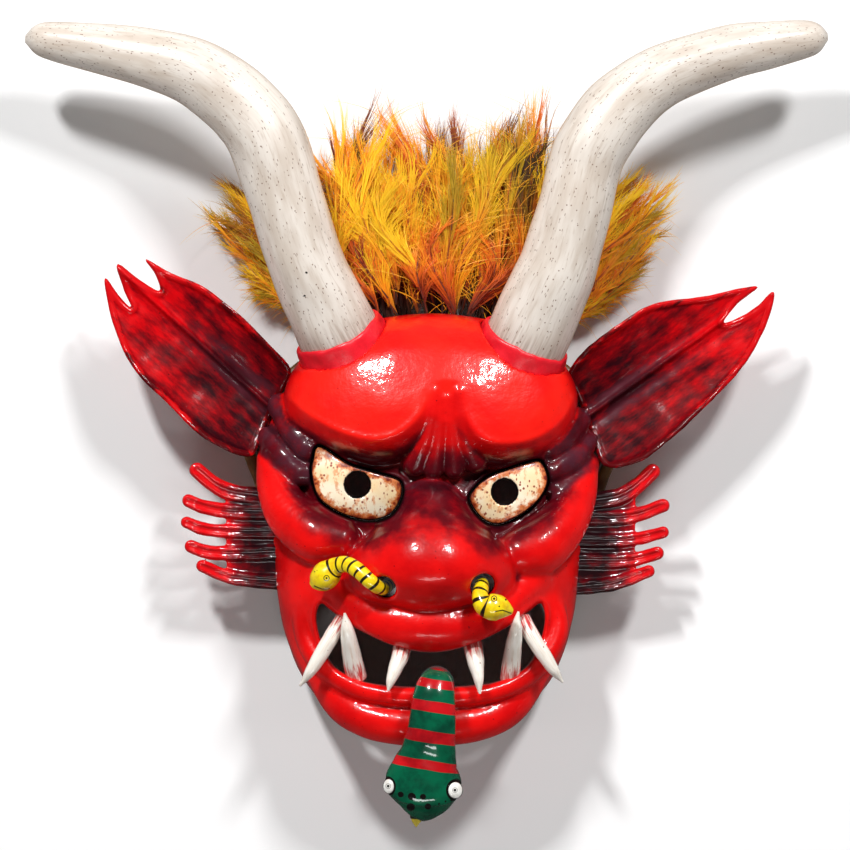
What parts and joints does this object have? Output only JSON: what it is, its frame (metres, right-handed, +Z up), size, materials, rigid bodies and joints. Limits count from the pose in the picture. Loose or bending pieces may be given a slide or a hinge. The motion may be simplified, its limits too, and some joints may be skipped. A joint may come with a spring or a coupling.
{
  "type": "diablada mask",
  "caption": "Horned red devil dance mask with pierced eyes, fangs, a snake for a tongue, snakes from the nostrils, leaf ears, cheek fins and an orange feather crest, hollow behind.",
  "frame": {"origin": "centre of the footprint of the whole mask, on the level of the flat rim that it lies on", "axes": "+X to the right of someone facing the mask, +Y towards the horns, +Z up, out of the face"},
  "size_m": [0.5788, 0.5773, 0.1552],
  "materials": {
    "red_lacquer": "gloss",
    "dark_red_lacquer": "gloss",
    "collar_pink_red": "satin",
    "back_brown": "satin",
    "horn_bone": "satin",
    "eye_cream": "gloss",
    "fang_ivory": "gloss",
    "snake_green": "gloss",
    "snake_yellow": "gloss",
    "feather_orange": "matte"
  },
  "bodies": {
    "root": {"face": "red_lacquer", "back_shell": "back_brown", "eye_left": "eye_cream", "eye_right": "eye_cream", "horn_left": "horn_bone", "horn_right": "horn_bone", "horn_collar_left": "collar_pink_red", "horn_collar_right": "collar_pink_red", "ear_left": "dark_red_lacquer", "ear_right": "dark_red_lacquer", "cheek_fin_left": "red_lacquer", "cheek_fin_right": "red_lacquer", "fang_outer_left": "fang_ivory", "fang_lower_left": "fang_ivory", "fang_upper_left": "fang_ivory", "fang_upper_right": "fang_ivory", "fang_lower_right": "fang_ivory", "fang_outer_right": "fang_ivory", "tongue_snake": "snake_green", "nostril_snake_left": "snake_yellow", "nostril_snake_right": "snake_yellow", "feather_crest": "feather_orange", "feather_tuft_left": "feather_orange", "feather_tuft_right": "feather_orange"}
  },
  "joints": []
}
